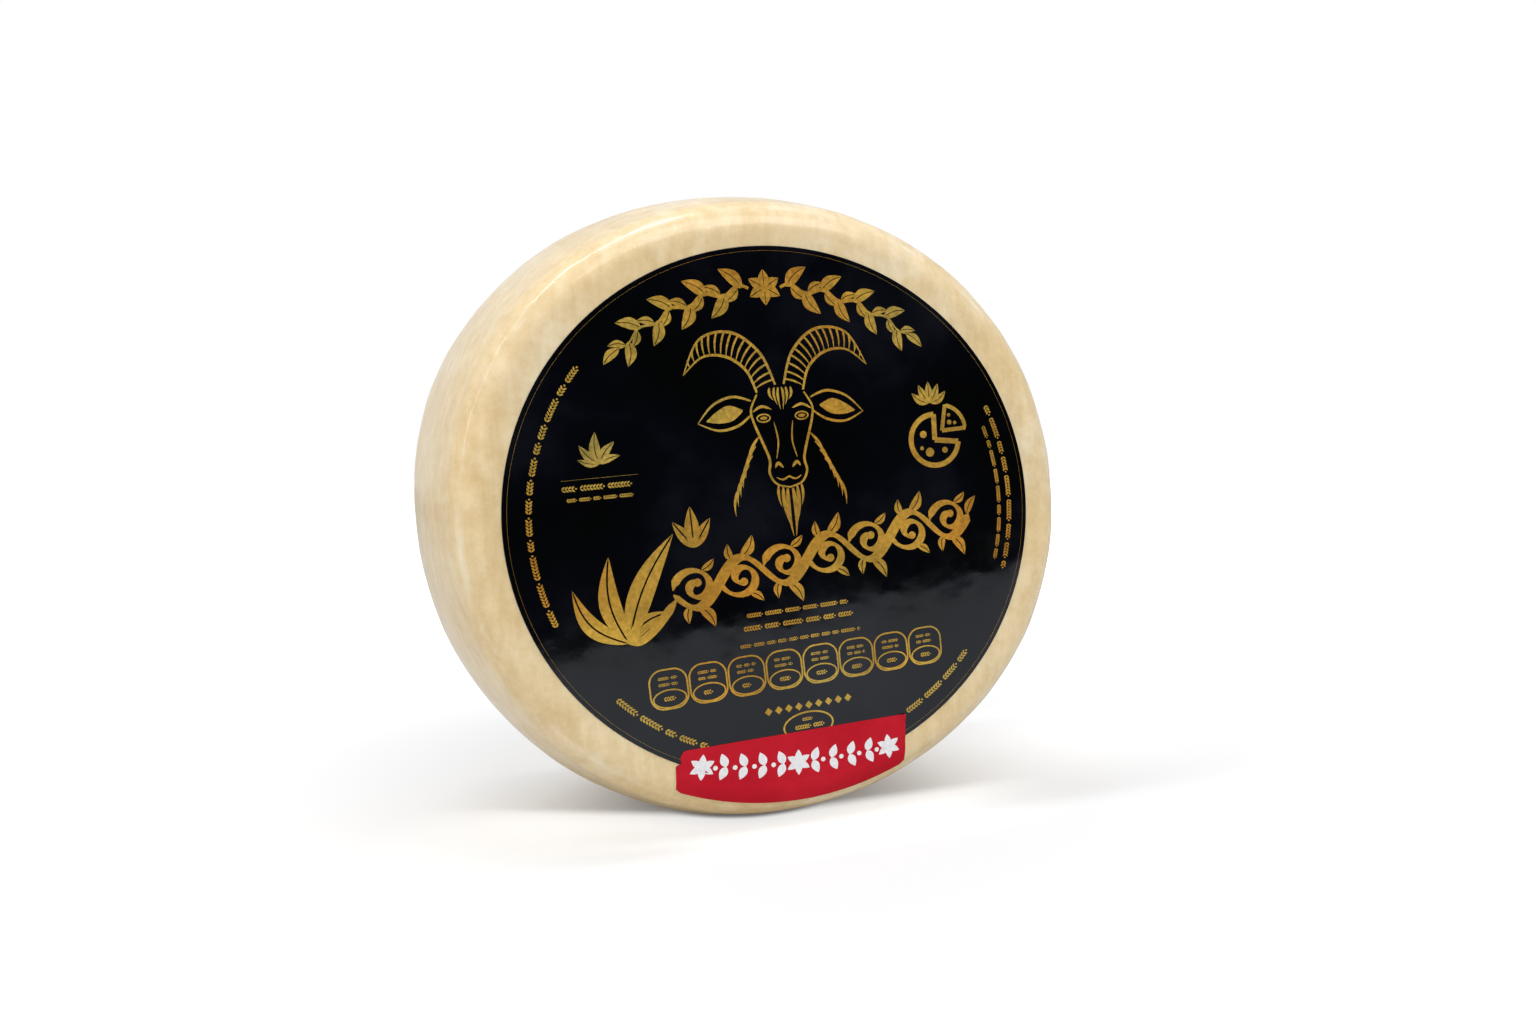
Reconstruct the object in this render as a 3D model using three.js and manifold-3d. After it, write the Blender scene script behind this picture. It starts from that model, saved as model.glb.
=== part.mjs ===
// A small whole cheese wheel standing on its rim, with a round film label on its front face
// and a strip sticker that crosses the label's lower edge and bends over the front shoulder.
//
// Millimetres, +Z up. The wheel's axis lies along Y and the label faces -Y. The origin is on
// the surface that the wheel stands on, below the middle of the whole object.

import * as THREE from 'three';
import { mergeVertices } from 'three/addons/utils/BufferGeometryUtils.js';
import Module from 'manifold-3d';

const wasm = await Module();
wasm.setup();

// Driving dimensions.
const WHEEL_RADIUS = 70;
const WHEEL_THICKNESS = 77;
const SHOULDER_RADIUS = 7.25;
const RIM_CROWN = 4.5; // how far the rim swells beyond the outside of its shoulders
const REST_DEPTH = 0.5; // how far the rim is flattened where the wheel stands on it
const LABEL_RADIUS = 55.75;
const LABEL_DROP = 0.65; // the label is stuck on a little low
const LABEL_THICKNESS = 0.25;
const STICKER_THICKNESS = 0.25;
const STICKER_LEFT = -24.75;
const STICKER_RIGHT = 25.5;
const STICKER_TOP = -46.8; // height of the top edge above the wheel's axis, at mid-width
const STICKER_TILT = 3.5; // degrees; the top edge rises to the right
const STICKER_BOTTOM_RADIUS = 62; // the bottom edge is an arc about the wheel's axis
const STICKER_CORNER_RADIUS = 1.5;

// How finely the round shapes are faceted.
const ROUND_STEPS = 96;
const SHOULDER_STEPS = 6;
const CROWN_STEPS = 10;

// The wheel's half profile is three arcs, each tangent to the next: the front shoulder, the
// crowned rim and the back shoulder. Its axial coordinate is 0 at mid-thickness.
const SHOULDER_Y = WHEEL_THICKNESS / 2 - SHOULDER_RADIUS;
const SHOULDER_RHO = WHEEL_RADIUS - RIM_CROWN - SHOULDER_RADIUS;
const CROWN_RADIUS = crownRadius();
const CROWN_RHO = WHEEL_RADIUS - CROWN_RADIUS;
const JOIN_ANGLE = Math.asin(SHOULDER_Y / (CROWN_RADIUS - SHOULDER_RADIUS));

// The stack of films on the front face, and where it puts everything along Y.
const FILM_STACK = LABEL_THICKNESS + STICKER_THICKNESS;
const WHEEL_MIDDLE_Y = FILM_STACK / 2;
const FRONT_FACE_Y = WHEEL_MIDDLE_Y - WHEEL_THICKNESS / 2;
const AXIS_HEIGHT = WHEEL_RADIUS - REST_DEPTH;

// Radius of the rim's crown, from its swell and the place of the shoulder arcs.
function crownRadius() {
  const inset = RIM_CROWN + SHOULDER_RADIUS;
  const squares = inset ** 2 + SHOULDER_Y ** 2 - SHOULDER_RADIUS ** 2;
  return squares / (2 * RIM_CROWN);
}

// Points on an arc of the half profile, as (distance from the axis, place along the axis).
function profileArc(rho, y, radius, fromAngle, toAngle, steps) {
  const points = [];
  for (let i = 0; i <= steps; i += 1) {
    const angle = THREE.MathUtils.lerp(fromAngle, toAngle, i / steps);
    points.push(new THREE.Vector2(rho + radius * Math.cos(angle), y + radius * Math.sin(angle)));
  }
  return points;
}

// The front shoulder's arc, standing off from the cheese by a given distance.
function frontShoulder(standOff) {
  const radius = SHOULDER_RADIUS + standOff;
  return profileArc(SHOULDER_RHO, -SHOULDER_Y, radius, -Math.PI / 2, -JOIN_ANGLE, SHOULDER_STEPS);
}

// A closed geometry as a solid for joining and cutting.
function toSolid(geometry) {
  const bare = geometry.clone();
  bare.deleteAttribute('normal');
  bare.deleteAttribute('uv');
  const merged = mergeVertices(bare, 1e-4);
  const mesh = new wasm.Mesh({
    numProp: 3,
    vertProperties: new Float32Array(merged.attributes.position.array),
    triVerts: new Uint32Array(merged.index.array),
  });
  return new wasm.Manifold(mesh);
}

// A solid as a geometry again.
function toGeometry(solid) {
  const mesh = solid.getMesh();
  const geometry = new THREE.BufferGeometry();
  geometry.setAttribute('position', new THREE.BufferAttribute(mesh.vertProperties, 3));
  geometry.setIndex(new THREE.BufferAttribute(mesh.triVerts, 1));
  geometry.computeVertexNormals();
  return geometry;
}

// An outline drawn on the front face (x across, y up), made solid towards -Y.
function faceExtrusion(outline, depth) {
  const geometry = new THREE.ExtrudeGeometry(outline, {
    depth,
    bevelEnabled: false,
    curveSegments: ROUND_STEPS,
  });
  return geometry.rotateX(Math.PI / 2);
}

// The cheese: one crowned wheel, flattened where it stands.
function wheelGeometry() {
  const halfThickness = WHEEL_THICKNESS / 2;
  const crown = profileArc(CROWN_RHO, 0, CROWN_RADIUS, -JOIN_ANGLE, JOIN_ANGLE, CROWN_STEPS);
  const backShoulder = frontShoulder(0).reverse();
  const profile = [
    new THREE.Vector2(0, -halfThickness),
    ...frontShoulder(0),
    ...crown.slice(1, -1),
    ...backShoulder.map((point) => new THREE.Vector2(point.x, -point.y)),
    new THREE.Vector2(0, halfThickness),
  ];
  const round = toSolid(new THREE.LatheGeometry(profile, ROUND_STEPS));
  const side = 4 * WHEEL_RADIUS;
  const below = new THREE.BoxGeometry(side, side, side).translate(0, 0, -AXIS_HEIGHT - side / 2);
  return toGeometry(round.subtract(toSolid(below)));
}

// The label: a flat disc of film.
function labelGeometry() {
  const outline = new THREE.Shape().absarc(0, 0, LABEL_RADIUS, 0, 2 * Math.PI, false);
  return faceExtrusion(outline, LABEL_THICKNESS);
}

// The sticker's outline on the front face: a straight tilted top, upright ends, a round bottom.
function stickerOutline() {
  const slope = Math.tan(THREE.MathUtils.degToRad(STICKER_TILT));
  const middle = (STICKER_LEFT + STICKER_RIGHT) / 2;
  const topAt = (x) => STICKER_TOP + slope * (x - middle);
  const leftAngle = Math.acos(STICKER_LEFT / STICKER_BOTTOM_RADIUS);
  const rightAngle = Math.acos(STICKER_RIGHT / STICKER_BOTTOM_RADIUS);
  const corner = STICKER_CORNER_RADIUS;
  const outline = new THREE.Shape();
  outline.absarc(0, 0, STICKER_BOTTOM_RADIUS, -leftAngle, -rightAngle, false);
  outline.lineTo(STICKER_RIGHT, topAt(STICKER_RIGHT));
  outline.lineTo(STICKER_LEFT + corner, topAt(STICKER_LEFT + corner));
  outline.quadraticCurveTo(
    STICKER_LEFT,
    topAt(STICKER_LEFT),
    STICKER_LEFT,
    topAt(STICKER_LEFT) - corner,
  );
  outline.closePath();
  return outline;
}

// The sticker: its outline cut from a skin that runs flat over the label and then follows the
// shoulder, standing off from the cheese by the label's thickness everywhere.
function stickerGeometry() {
  const flat = (standOff) => new THREE.Vector2(0, -WHEEL_THICKNESS / 2 - standOff);
  const inner = frontShoulder(LABEL_THICKNESS).reverse();
  const skinProfile = [flat(FILM_STACK), ...frontShoulder(FILM_STACK), ...inner, flat(LABEL_THICKNESS)];
  const skin = toSolid(new THREE.LatheGeometry(skinProfile, ROUND_STEPS));
  const cutter = faceExtrusion(stickerOutline(), WHEEL_THICKNESS);
  return toGeometry(skin.intersect(toSolid(cutter)));
}

const MATERIALS = {
  cheese: new THREE.MeshStandardMaterial({ color: 0xe2cca0, roughness: 0.42, metalness: 0 }),
  labelFilm: new THREE.MeshStandardMaterial({ color: 0x0b0c10, roughness: 0.16, metalness: 0 }),
  stickerFilm: new THREE.MeshStandardMaterial({ color: 0xb81e30, roughness: 0.35, metalness: 0 }),
};

const cheeseWheel = new THREE.Mesh(wheelGeometry(), MATERIALS.cheese);
cheeseWheel.name = 'cheese_wheel';
cheeseWheel.position.y = WHEEL_MIDDLE_Y;

const roundLabel = new THREE.Mesh(labelGeometry(), MATERIALS.labelFilm);
roundLabel.name = 'round_label';
roundLabel.position.set(0, FRONT_FACE_Y, -LABEL_DROP);

const stripSticker = new THREE.Mesh(stickerGeometry(), MATERIALS.stickerFilm);
stripSticker.name = 'strip_sticker';
stripSticker.position.y = WHEEL_MIDDLE_Y;

const group = new THREE.Group();
group.position.z = AXIS_HEIGHT;
group.add(cheeseWheel, roundLabel, stripSticker);

export default group;
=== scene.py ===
"""The looks of the cheese wheel: a waxy pressed cheese standing on its rim, with a glossy black
film label, its gold foil printing, and a red strip sticker with white printing.

Metres, +Z up, in the CAD frame. The wheel's axis lies along Y and the label faces -Y.
"""

import math
import random

import bpy
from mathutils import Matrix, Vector, noise


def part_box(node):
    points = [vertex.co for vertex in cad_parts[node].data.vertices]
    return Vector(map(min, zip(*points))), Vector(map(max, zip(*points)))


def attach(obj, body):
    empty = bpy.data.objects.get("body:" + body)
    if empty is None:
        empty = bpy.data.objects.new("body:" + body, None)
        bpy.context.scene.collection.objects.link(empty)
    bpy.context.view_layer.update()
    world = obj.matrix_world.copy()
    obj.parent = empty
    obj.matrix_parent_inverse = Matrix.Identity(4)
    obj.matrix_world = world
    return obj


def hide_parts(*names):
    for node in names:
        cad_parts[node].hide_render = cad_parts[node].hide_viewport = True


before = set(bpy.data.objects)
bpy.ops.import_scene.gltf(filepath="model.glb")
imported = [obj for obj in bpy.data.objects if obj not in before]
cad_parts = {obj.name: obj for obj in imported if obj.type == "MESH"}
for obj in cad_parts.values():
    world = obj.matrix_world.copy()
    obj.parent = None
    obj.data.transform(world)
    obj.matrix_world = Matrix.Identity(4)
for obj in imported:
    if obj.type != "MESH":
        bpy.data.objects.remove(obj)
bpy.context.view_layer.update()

MM = 0.001

# ---------------------------------------------------------------- sizes, from the frame
WHEEL_LOW, WHEEL_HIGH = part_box("cheese_wheel")
LABEL_LOW, LABEL_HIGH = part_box("round_label")
STICKER_LOW, STICKER_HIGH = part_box("strip_sticker")

WHEEL_RADIUS = (WHEEL_HIGH.x - WHEEL_LOW.x) / 2
AXIS_HEIGHT = WHEEL_HIGH.z - WHEEL_RADIUS
FRONT_Y = WHEEL_LOW.y
BACK_Y = WHEEL_HIGH.y
MIDDLE_Y = (FRONT_Y + BACK_Y) / 2
LABEL_RADIUS = (LABEL_HIGH.x - LABEL_LOW.x) / 2
LABEL_HEIGHT = (LABEL_HIGH.z + LABEL_LOW.z) / 2
STICKER_LEFT = STICKER_LOW.x
STICKER_RIGHT = STICKER_HIGH.x

# The CAD wheel's profile arcs, which its box doesn't give.
SHOULDER_RADIUS = 7.25 * MM
RIM_CROWN = 4.5 * MM
HALF_THICKNESS = (BACK_Y - FRONT_Y) / 2
FLAT_RADIUS = WHEEL_RADIUS - RIM_CROWN - SHOULDER_RADIUS
SHOULDER_Y = HALF_THICKNESS - SHOULDER_RADIUS
CROWN_RADIUS = (
    (RIM_CROWN + SHOULDER_RADIUS) ** 2 + SHOULDER_Y**2 - SHOULDER_RADIUS**2
) / (2 * RIM_CROWN)
JOIN_ANGLE = math.asin(SHOULDER_Y / (CROWN_RADIUS - SHOULDER_RADIUS))

FILM = 0.10 * MM  # thickness of the label's and the sticker's film
PRINT_HEIGHT = 0.03 * MM
PRINT_ROLL = math.radians(5.0)  # the label is stuck on turned a little anticlockwise

RIDGE_RHO = FLAT_RADIUS + 4.9 * MM  # the mould's mark on the front shoulder
RIDGE_HALF_WIDTH = 0.45 * MM
RIDGE_HEIGHT = 0.07 * MM

# Small nicks and creases in the front skin: (angle and distance from the axis, half-length,
# half-width, turn of the length in degrees, height).
SKIN_MARKS = (
    (-136.0, 64.0 * MM, 1.1 * MM, 0.45 * MM, -40, 0.14 * MM),
    (-163.9, 60.9 * MM, 2.4 * MM, 0.40 * MM, 100, 0.06 * MM),
    (-162.7, 58.9 * MM, 1.6 * MM, 0.45 * MM, 8, 0.08 * MM),
    (118.0, 60.2 * MM, 2.0 * MM, 0.60 * MM, 60, -0.07 * MM),
    (-2.0, 59.6 * MM, 1.2 * MM, 0.70 * MM, 15, -0.08 * MM),
    (3.0, 60.4 * MM, 1.6 * MM, 0.60 * MM, -10, -0.06 * MM),
)

# The wheel is slightly out of round: (lobes, swell, angle of a swelling in degrees).
WHEEL_LOBES = ((2, 0.16 * MM, 45), (3, 0.23 * MM, 12), (4, 0.42 * MM, 55))


# ---------------------------------------------------------------- noise and small helpers
def fbm(point, octaves=3):
    """Layered noise in about -1 to 1 at a point, given in units of its largest lumps."""
    return noise.fractal(Vector(point), 1.0, 2.0, octaves, noise_basis="PERLIN_ORIGINAL")


def smoothstep(low, high, value):
    t = min(1.0, max(0.0, (value - low) / (high - low)))
    return t * t * (3 - 2 * t)


def lerp(a, b, t):
    return a + (b - a) * t


def face_wave(x, z):
    """How far the front face stands behind its plane at a place measured from the axis."""
    broad = fbm((x / (34 * MM), 3.1, z / (34 * MM)), 1)
    small = fbm((x / (13 * MM), 8.7, z / (11 * MM)), 2)
    fine = fbm((x / (4.5 * MM), 2.7, z / (3.2 * MM)), 2)
    return 0.10 * MM * broad + 0.040 * MM * small + 0.008 * MM * fine


def out_of_round(angle):
    return sum(
        swell * math.cos(lobes * (angle - math.radians(peak))) for lobes, swell, peak in WHEEL_LOBES
    )


def marks_relief(x, z):
    """Height of the nicks and creases at a place on the front."""
    height = 0.0
    for angle, rho, length, width, turn, mark_height in SKIN_MARKS:
        a, t = math.radians(angle), math.radians(turn)
        dx, dz = x - rho * math.cos(a), z - rho * math.sin(a)
        along = (dx * math.cos(t) + dz * math.sin(t)) / length
        across = (dz * math.cos(t) - dx * math.sin(t)) / width
        if along * along + across * across < 9:
            height += mark_height * math.exp(-along * along - across * across)
    return height


def cheese_relief(rho, y, angle, radial):
    """How far the cheese's skin stands proud of the plain profile. A faint broken ridge, left by
    the mould's lid, runs along the front shoulder."""
    x, z = rho * math.cos(angle), rho * math.sin(angle)
    if y < 0:
        face = -face_wave(x, z)
    else:
        face = 0.12 * MM * fbm((x / (30 * MM), 21.0, z / (30 * MM)), 2)
    on_edge = smoothstep(0.93 * FLAT_RADIUS, FLAT_RADIUS + 3 * MM, rho)
    p = (x / (26 * MM), y / (26 * MM), z / (26 * MM))
    broad = 0.28 * MM * fbm(p, 2)
    dents = 0.07 * MM * fbm((x / (7 * MM), y / (9 * MM) + 5.0, z / (7 * MM)), 3)
    turns = 0.035 * MM * fbm((math.cos(angle) * 3, y / (2.2 * MM), math.sin(angle) * 3), 2)
    swell = out_of_round(angle) * radial
    front_marks = 0.0
    if y < 0:
        from_ridge = (rho - RIDGE_RHO) / RIDGE_HALF_WIDTH
        broken = max(0.0, 0.25 + 1.5 * fbm((math.cos(angle) * 9, 60.0, math.sin(angle) * 9), 3))
        front_marks = RIDGE_HEIGHT * math.exp(-from_ridge * from_ridge) * broken
        front_marks += marks_relief(x, z)
    return lerp(face, broad + dents + turns * radial + swell + front_marks, on_edge)


def skin_y(x, z):
    """Y of the cheese's front skin at (x, z from the axis), on the flat or on the shoulder."""
    rho, angle = math.hypot(x, z), math.atan2(z, x)
    over = rho - FLAT_RADIUS
    if over <= 0:
        return FRONT_Y - cheese_relief(rho, -HALF_THICKNESS, angle, 0.0)
    relief = 0.0
    for _ in range(3):  # the relief moves the shoulder a little, so its place is found in steps
        c = min(over / (SHOULDER_RADIUS + relief), 0.99)
        s = math.sqrt(1 - c * c)
        base_rho = FLAT_RADIUS + SHOULDER_RADIUS * c
        relief = cheese_relief(base_rho, -SHOULDER_Y - SHOULDER_RADIUS * s, angle, c)
    return MIDDLE_Y - SHOULDER_Y - (SHOULDER_RADIUS + relief) * s


def film_y(x, z, rise=0.0):
    """Y of the label film's front at (x, z), z measured from the wheel's axis, plus a rise."""
    return skin_y(x, z) - FILM - rise


def new_mesh_object(name, vertices, faces, material, smooth=True):
    mesh = bpy.data.meshes.new(name)
    mesh.from_pydata(vertices, [], faces)
    mesh.validate()
    mesh.materials.append(material)
    mesh.polygons.foreach_set("use_smooth", [smooth] * len(mesh.polygons))
    mesh.update()
    piece = bpy.data.objects.new(name, mesh)
    bpy.context.scene.collection.objects.link(piece)
    return piece


def ring_faces(first, rings, steps):
    """Faces between rings of points that follow each other, of as many steps each."""
    faces = []
    for a in range(first, first + (rings - 1) * steps, steps):
        for k in range(steps):
            n = (k + 1) % steps
            faces.append((a + k, a + steps + k, a + steps + n, a + n))
    return faces


def fan_faces(middle, first, steps, flipped=False):
    """Faces between a middle point and a ring of points."""
    faces = []
    for k in range(steps):
        a, b = first + k, first + (k + 1) % steps
        faces.append((middle, b, a) if flipped else (middle, a, b))
    return faces


# ---------------------------------------------------------------- shader nodes
class Surface:
    """A material. Its methods add shader nodes to it and give back their outputs."""

    def __init__(self, name):
        self.material = bpy.data.materials.new(name)
        self.material.use_nodes = True
        self.nodes = self.material.node_tree.nodes
        self.links = self.material.node_tree.links
        self.place = self.nodes.new("ShaderNodeTexCoord").outputs["Object"]

    def feed(self, node, inputs):
        """Sets a node's inputs, each to a plain value or to another node's output."""
        for socket, value in inputs.items():
            if isinstance(value, bpy.types.NodeSocket):
                self.links.new(value, node.inputs[socket])
            else:
                node.inputs[socket].default_value = value
        return node.outputs

    def finished(self, inputs):
        """The material, once the inputs of its shader are set."""
        self.feed(self.nodes["Principled BSDF"], inputs)
        return self.material

    def axes(self):
        return self.feed(self.nodes.new("ShaderNodeSeparateXYZ"), {"Vector": self.place})

    def vector(self, operation, a, b):
        node = self.nodes.new("ShaderNodeVectorMath")
        node.operation = operation
        return self.feed(node, {0: a, 1: b})

    def math(self, operation, a, b):
        node = self.nodes.new("ShaderNodeMath")
        node.operation = operation
        return self.feed(node, {0: a, 1: b})["Value"]

    def noise(self, per_metre, detail=3.0, roughness=0.5, stretch=None):
        """Noise in object coordinates; stretch squeezes it along X, Y and Z."""
        place = self.place
        if stretch is not None:
            mapping = self.nodes.new("ShaderNodeMapping")
            place = self.feed(mapping, {"Vector": place, "Scale": stretch})["Vector"]
        inputs = {"Vector": place, "Scale": per_metre, "Detail": detail, "Roughness": roughness}
        return self.feed(self.nodes.new("ShaderNodeTexNoise"), inputs)["Fac"]

    def ramp(self, value, *stops):
        """Colours by a value; each stop is a value and its colour."""
        node = self.nodes.new("ShaderNodeValToRGB")
        elements = node.color_ramp.elements
        for element, (position, colour) in zip(elements, (stops[0], stops[-1])):
            element.position = position
            element.color = (*colour, 1)
        for position, colour in stops[1:-1]:
            elements.new(position).color = (*colour, 1)
        return self.feed(node, {"Fac": value})["Color"]

    def mix(self, factor, a, b, blend="MIX"):
        """Two colours mixed; a mix node's colour sockets are its inputs 6 and 7 and output 2."""
        node = self.nodes.new("ShaderNodeMix")
        node.data_type = "RGBA"
        node.blend_type = blend
        return self.feed(node, {0: factor, 6: a, 7: b})[2]

    def remap(self, value, low, high, from_low=0.3, from_high=0.7, smooth=False):
        """A value from low to high, as another one goes from from_low to from_high."""
        node = self.nodes.new("ShaderNodeMapRange")
        node.interpolation_type = "SMOOTHSTEP" if smooth else "LINEAR"
        given = {"Value": value, "From Min": from_low, "From Max": from_high}
        return self.feed(node, {**given, "To Min": low, "To Max": high})["Result"]

    def bump(self, height, distance, strength, under=None):
        """A bumped normal, on top of another one where under gives it."""
        inputs = {"Height": height, "Distance": distance, "Strength": strength}
        if under is not None:
            inputs["Normal"] = under
        return self.feed(self.nodes.new("ShaderNodeBump"), inputs)["Normal"]


# ---------------------------------------------------------------- camera, lights, floor
VIEW_YAW = math.radians(27.8)
VIEW_PITCH = math.radians(5.86)
CAMERA_FROM_FACE = Vector((-76.7, -265.6, 14.6)) * MM  # from the middle of the front face
SENSOR_WIDTH = 36.0
LENS = 30.16
SHIFT = (-0.1867, 0.0417)  # the wheel stands right of the middle of the frame, and a little low

# A thin strip overhead, a broad light high in front and a faint strip on the left: (name, place,
# point that it faces, size, watts).
LIGHTS = (
    ("key", (-0.30, -0.02, 0.76), (-0.05, -0.02, 0.05), (0.05, 0.55), 1.6),
    ("front", (0.05, -0.55, 0.75), (0, 0, 0.08), (0.7, 0.4), 2.9),
    ("left_strip", (-0.62, -0.10, 0.40), (0, 0, 0.08), (0.05, 0.5), 0.35),
)
WORLD_STRENGTH = 0.71

FLOOR_COLOUR = (0.652, 0.660, 0.678, 1)  # a little cool, against the cheese's warm bounce
FLOOR_HALF = 3.0
PAINTED_LIGHT_FRONT_MIDDLE = (-0.008, -0.024, 0.0)  # middles of the patches of painted light that paint over the wheel's shadow on the floor
PAINTED_LIGHT_RIGHT_MIDDLE = (0.085, 0.020, 0.0)

FLAG_FOOT = ((-0.16, -0.311), (-0.011, -0.331), (0.087, -0.344), (0.275, -0.53), (0.80, -0.95))
FLAG_HEIGHT = 0.34


def make_camera():
    data = bpy.data.cameras.new("camera")
    data.sensor_width = SENSOR_WIDTH
    data.lens = LENS
    data.shift_x, data.shift_y = SHIFT
    data.clip_start = 0.01
    camera = bpy.data.objects.new("camera", data)
    bpy.context.scene.collection.objects.link(camera)
    camera.location = Vector((0, FRONT_Y, AXIS_HEIGHT)) + CAMERA_FROM_FACE
    forward = Vector(
        (
            math.sin(VIEW_YAW) * math.cos(VIEW_PITCH),
            math.cos(VIEW_YAW) * math.cos(VIEW_PITCH),
            -math.sin(VIEW_PITCH),
        )
    )
    camera.rotation_euler = forward.to_track_quat("-Z", "Y").to_euler()
    bpy.context.scene.camera = camera


def make_lights():
    for name, place, target, size, watts in LIGHTS:
        data = bpy.data.lights.new(name, "AREA")
        data.shape = "RECTANGLE"
        data.size, data.size_y = size
        data.energy = watts
        light = bpy.data.objects.new(name, data)
        bpy.context.scene.collection.objects.link(light)
        light.location = place
        aim = Vector(target) - Vector(place)
        light.rotation_euler = aim.to_track_quat("-Z", "Y").to_euler()


def make_world():
    """White to the camera, and a soft even studio white to everything else."""
    world = bpy.data.worlds.new("studio")
    bpy.context.scene.world = world
    world.use_nodes = True
    nodes, links = world.node_tree.nodes, world.node_tree.links
    nodes.clear()
    output = nodes.new("ShaderNodeOutputWorld")
    path = nodes.new("ShaderNodeLightPath")
    mix = nodes.new("ShaderNodeMixShader")
    links.new(path.outputs["Is Camera Ray"], mix.inputs["Fac"])
    for socket, strength in ((mix.inputs[1], WORLD_STRENGTH), (mix.inputs[2], 1.0)):
        background = nodes.new("ShaderNodeBackground")
        background.inputs["Color"].default_value = (1, 1, 1, 1)
        background.inputs["Strength"].default_value = strength
        links.new(background.outputs["Background"], socket)
    links.new(mix.outputs["Shader"], output.inputs["Surface"])


def make_floor():
    """A pale floor with painted light: an emission that only the camera sees lifts it towards
    white, everywhere by a little, more far from the wheel, so that no horizon shows, and in front
    of the wheel and on its right, where the painted light paints over the wheel's shadow."""
    ground = Surface("floor_with_painted_light")
    axes = ground.axes()

    def distance_from(point):
        return ground.vector("DISTANCE", ground.place, point)["Value"]

    def soft(value, start, stop, low, high):
        return ground.remap(value, low, high, start, stop, smooth=True)

    out = distance_from((0.0, 0.0, 0.0))
    # The line behind which the painted light in front stops, and the wheel's shadow shows, bends
    # back on the left of the wheel's foot.
    bend = ground.remap(axes["X"], -0.060, 0.0, -0.105, -0.005)
    behind = ground.math("ADD", axes["Y"], bend)
    # painted light in front of the wheel's foot, which paints over its shadow
    front = soft(distance_from(PAINTED_LIGHT_FRONT_MIDDLE), 0.008, 0.082, 0.62, 0.0)
    for share in (
        soft(behind, -0.0225, -0.0135, 1.0, 0.0),
        soft(behind, -0.060, -0.026, 0.13, 1.0),
        soft(out, 0.0185, 0.0225, 0.0, 1.0),
    ):
        front = ground.math("MULTIPLY", front, share)
    # painted light: a little near the wheel, and more far from it so that no horizon shows
    painted_light_near = soft(out, 0.010, 0.055, 0.08, 0.262)
    far = soft(out, 0.06, 0.55, 0.0, 0.60)
    # painted light on the wheel's right, which paints over its shadow
    right = soft(distance_from(PAINTED_LIGHT_RIGHT_MIDDLE), 0.0, 0.065, 0.16, 0.0)
    painted_floor_light = painted_light_near
    for more in (far, front, right):
        painted_floor_light = ground.math("ADD", painted_floor_light, more)
    # the painted light is an emission that only camera rays see
    seen = ground.nodes.new("ShaderNodeLightPath").outputs["Is Camera Ray"]
    material = ground.finished(
        {
            "Base Color": FLOOR_COLOUR,
            "Roughness": 0.6,
            "Specular IOR Level": 0.1,
            "Emission Color": (1, 1, 1, 1),
            "Emission Strength": ground.math("MULTIPLY", painted_floor_light, seen),
        }
    )
    corners = [(x * FLOOR_HALF, y * FLOOR_HALF, 0) for x, y in ((-1, -1), (1, -1), (1, 1), (-1, 1))]
    floor = new_mesh_object("floor", corners, [(0, 1, 2, 3)], material, smooth=False)


def make_dark_flag():
    """A folded black flag behind the camera, seen only in reflections: it keeps the glossy film
    black above the floor's reflection."""
    material = Surface("flag_black").finished(
        {"Base Color": (0.01, 0.01, 0.012, 1), "Roughness": 1.0, "Specular IOR Level": 0.0}
    )
    vertices = [(x, y, z) for z in (0.0, FLAG_HEIGHT) for x, y in FLAG_FOOT]
    count = len(FLAG_FOOT)
    faces = [(i, i + 1, count + i + 1, count + i) for i in range(count - 1)]
    flag = new_mesh_object("dark_flag", vertices, faces, material, smooth=False)
    flag.visible_camera = False
    flag.visible_diffuse = False
    flag.visible_shadow = False
    flag.visible_transmission = False


# ---------------------------------------------------------------- materials
# width of each fading side of the painted highlight along the ridge
RIDGE_HIGHLIGHT_WIDTH = 0.9 * MM


def painted_ridge_highlight(rind, depth):
    """How much of a painted highlight the skin gets: a broken pale line along the mould's mark on
    the shoulder.
    """
    onto_face = rind.vector("MULTIPLY", rind.place, (1.0, 0.0, 1.0))["Vector"]
    rho = rind.vector("DISTANCE", onto_face, (0.0, 0.0, AXIS_HEIGHT))["Value"]
    highlight_share = rind.remap(depth, 1.0, 0.0, MIDDLE_Y, MIDDLE_Y + MM)
    for share in (
        rind.remap(rho, 0.0, 1.0, RIDGE_RHO - RIDGE_HIGHLIGHT_WIDTH, RIDGE_RHO, smooth=True),
        rind.remap(rho, 1.0, 0.0, RIDGE_RHO, RIDGE_RHO + RIDGE_HIGHLIGHT_WIDTH, smooth=True),
        rind.remap(rind.noise(75, 5, 0.7), 0.0, 0.6, 0.44, 0.62),
    ):
        highlight_share = rind.math("MULTIPLY", highlight_share, share)
    return highlight_share


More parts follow.
